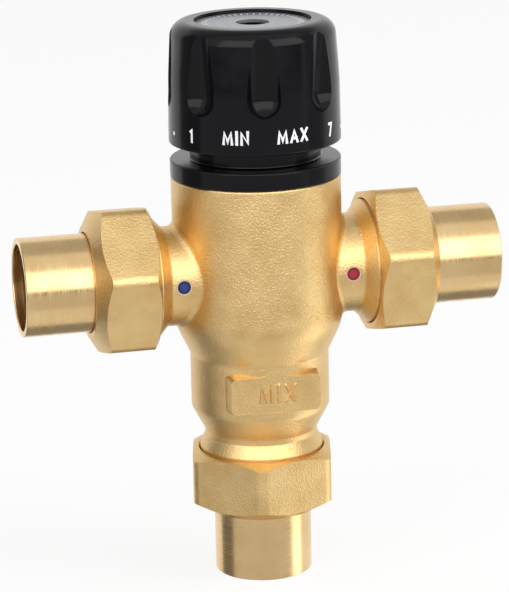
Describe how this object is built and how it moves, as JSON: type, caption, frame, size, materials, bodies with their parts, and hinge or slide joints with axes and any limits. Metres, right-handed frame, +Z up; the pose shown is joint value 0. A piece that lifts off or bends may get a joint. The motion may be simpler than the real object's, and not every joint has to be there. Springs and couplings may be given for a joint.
{
  "type": "thermostatic mixing valve",
  "caption": "Brass thermostatic mixing valve with a fluted black setting knob on top, hot and cold inlets at its sides and a mixed outlet below, all on union tailpieces.",
  "frame": {"origin": "centre of the mixed outlet's mouth, which is the middle of the part's footprint at its lowest level", "axes": "+Z up along the knob's axis, +X out of the hot inlet, -X out of the cold inlet, -Y to the front with the pad"},
  "size_m": [0.1248, 0.0442, 0.1466],
  "materials": {
    "forged_brass": "shot-blasted forging, satin",
    "turned_brass": "turned, fine circumferential lines",
    "machined_brass": "turned, inside the valve",
    "black_abs": "glossy moulded",
    "grey_disc": "printed, semi-gloss",
    "blue_mark": "glossy",
    "red_mark": "glossy",
    "stainless_steel": "bright drawn",
    "black_rubber": "matt moulded",
    "green_fibre": "pressed fibre sheet",
    "white_acetal": "moulded",
    "grey_polymer": "moulded",
    "copper": "drawn cup, plain"
  },
  "bodies": {
    "valve": {"valve_body": "forged_brass", "cold_mark": "blue_mark", "hot_mark": "red_mark", "locking_ring": "black_abs", "headwork": "machined_brass", "headwork_o_ring": "black_rubber", "return_spring": "stainless_steel", "union_nut_hot": "forged_brass", "tailpiece_hot": "turned_brass", "gasket_hot": "green_fibre", "union_nut_cold": "forged_brass", "tailpiece_cold": "turned_brass", "gasket_cold": "green_fibre", "union_nut_mix": "forged_brass", "tailpiece_mix": "turned_brass", "gasket_mix": "green_fibre", "check_cage_hot": "white_acetal", "check_spring_hot": "stainless_steel", "check_cage_cold": "white_acetal", "check_spring_cold": "stainless_steel"},
    "knob_group": {"knob": "black_abs", "knob_disc": "grey_disc", "knob_screw": "stainless_steel", "stem": "machined_brass", "stem_clip": "stainless_steel", "stem_o_ring_lower": "black_rubber", "stem_o_ring_upper": "black_rubber"},
    "shutter_group": {"plunger": "machined_brass", "plunger_retainer": "stainless_steel", "spring_cup": "machined_brass", "overtravel_spring": "stainless_steel", "shutter": "grey_polymer", "shutter_o_ring": "black_rubber", "wax_capsule": "copper", "capsule_piston": "stainless_steel"},
    "hot_poppet": {"check_poppet_hot": "white_acetal"},
    "cold_poppet": {"check_poppet_cold": "white_acetal"}
  },
  "joints": [
    {"name": "knob_turn", "type": "hinge", "parent": "valve", "child": "knob_group", "pos_m": [0, 0, 0.0811], "axis": [0, 0, 1], "range_deg": [-158.5, 158.5]},
    {"name": "shutter_slide", "type": "slide", "parent": "valve", "child": "shutter_group", "axis": [0, 0, 1], "range_m": [-0.00132, 0.00132], "deforming": ["return_spring"]},
    {"name": "hot_poppet_slide", "type": "slide", "parent": "valve", "child": "hot_poppet", "axis": [-1, 0, 0], "range_m": [0, 0.003], "stiffness_N_per_m": 30, "springref_m": -0.006, "deforming": ["check_spring_hot"]},
    {"name": "cold_poppet_slide", "type": "slide", "parent": "valve", "child": "cold_poppet", "axis": [1, 0, 0], "range_m": [0, 0.003], "stiffness_N_per_m": 30, "springref_m": -0.006, "deforming": ["check_spring_cold"]}
  ],
  "couplings": [
    {"joint": "knob_turn", "follows": "shutter_slide", "rad_per_m": -2094.4}
  ]
}
